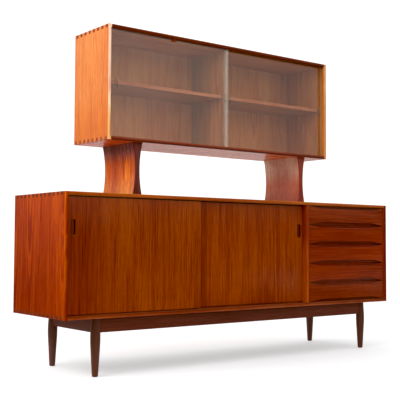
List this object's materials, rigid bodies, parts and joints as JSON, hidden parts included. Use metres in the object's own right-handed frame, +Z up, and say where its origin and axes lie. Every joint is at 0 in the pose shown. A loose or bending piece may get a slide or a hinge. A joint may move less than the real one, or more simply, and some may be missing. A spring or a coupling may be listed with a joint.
{
  "type": "glass cabinet",
  "caption": "Long teak sideboard with sliding doors and a bank of drawers on turned legs, carrying a glass-fronted display cabinet on two hourglass risers.",
  "frame": {"origin": "on the floor, under the middle of the plan", "axes": "+X along the length towards the drawers, +Y from the front to the back, +Z up"},
  "size_m": [2, 0.475, 1.552],
  "materials": {
    "teak_case": "oiled satin",
    "teak_door": "oiled satin",
    "teak_drawer": "oiled satin",
    "teak_frame": "dark oiled",
    "teak_riser": "oiled satin",
    "inner_wood": "satin",
    "drawer_wood": "bare",
    "back_ply": "satin",
    "pane_glass": "polished",
    "track_plastic": "matt",
    "pin_brass": "satin",
    "screw_steel": "zinc plated"
  },
  "bodies": {
    "cabinet": {"base_top": "teak_case", "base_bottom": "teak_case", "base_side_left": "teak_case", "base_side_right": "teak_case", "base_partition": "teak_case", "hutch_top": "teak_case", "hutch_bottom": "teak_case", "hutch_side_left": "teak_case", "hutch_side_right": "teak_case", "base_divider": "inner_wood", "base_shelf_left": "inner_wood", "base_shelf_right": "inner_wood", "hutch_divider": "inner_wood", "hutch_shelf_left": "inner_wood", "hutch_shelf_right": "inner_wood", "base_back": "back_ply", "hutch_back": "back_ply", "door_glide_strips": "track_plastic", "drawer_runners": "drawer_wood", "leg_front_left": "teak_frame", "leg_front_right": "teak_frame", "leg_back_left": "teak_frame", "leg_back_right": "teak_frame", "apron_front": "teak_frame", "apron_back": "teak_frame", "apron_left": "teak_frame", "apron_right": "teak_frame", "corner_blocks": "drawer_wood", "frame_screws": "screw_steel", "riser_left": "teak_riser", "riser_right": "teak_riser", "riser_dowels": "drawer_wood", "shelf_pins": "pin_brass", "hutch_track_top": "track_plastic", "hutch_track_bottom": "track_plastic", "track_keeper": "teak_case"},
    "door_left": {"door_left": "teak_door", "door_pull_left": "teak_door"},
    "door_right": {"door_right": "teak_door", "door_pull_right": "teak_door"},
    "glass_left": {"glass_left": "pane_glass"},
    "glass_right": {"glass_right": "pane_glass"},
    "drawer_1": {"drawer_front_1": "teak_drawer", "drawer_box_1": "drawer_wood", "drawer_bottom_1": "drawer_wood"},
    "drawer_2": {"drawer_front_2": "teak_drawer", "drawer_box_2": "drawer_wood", "drawer_bottom_2": "drawer_wood"},
    "drawer_3": {"drawer_front_3": "teak_drawer", "drawer_box_3": "drawer_wood", "drawer_bottom_3": "drawer_wood"},
    "drawer_4": {"drawer_front_4": "teak_drawer", "drawer_box_4": "drawer_wood", "drawer_bottom_4": "drawer_wood"},
    "drawer_5": {"drawer_front_5": "teak_drawer", "drawer_box_5": "drawer_wood", "drawer_bottom_5": "drawer_wood"}
  },
  "joints": [
    {"name": "door_left_slide", "type": "slide", "parent": "cabinet", "child": "door_left", "axis": [1, 0, 0], "range_m": [0, 0.674]},
    {"name": "door_right_slide", "type": "slide", "parent": "cabinet", "child": "door_right", "axis": [1, 0, 0], "range_m": [-0.674, 0]},
    {"name": "glass_left_slide", "type": "slide", "parent": "cabinet", "child": "glass_left", "axis": [1, 0, 0], "range_m": [0, 0.676]},
    {"name": "glass_right_slide", "type": "slide", "parent": "cabinet", "child": "glass_right", "axis": [1, 0, 0], "range_m": [-0.676, 0]},
    {"name": "drawer_1_slide", "type": "slide", "parent": "cabinet", "child": "drawer_1", "axis": [0, -1, 0], "range_m": [0, 0.33]},
    {"name": "drawer_2_slide", "type": "slide", "parent": "cabinet", "child": "drawer_2", "axis": [0, -1, 0], "range_m": [0, 0.33]},
    {"name": "drawer_3_slide", "type": "slide", "parent": "cabinet", "child": "drawer_3", "axis": [0, -1, 0], "range_m": [0, 0.33]},
    {"name": "drawer_4_slide", "type": "slide", "parent": "cabinet", "child": "drawer_4", "axis": [0, -1, 0], "range_m": [0, 0.33]},
    {"name": "drawer_5_slide", "type": "slide", "parent": "cabinet", "child": "drawer_5", "axis": [0, -1, 0], "range_m": [0, 0.33]}
  ]
}
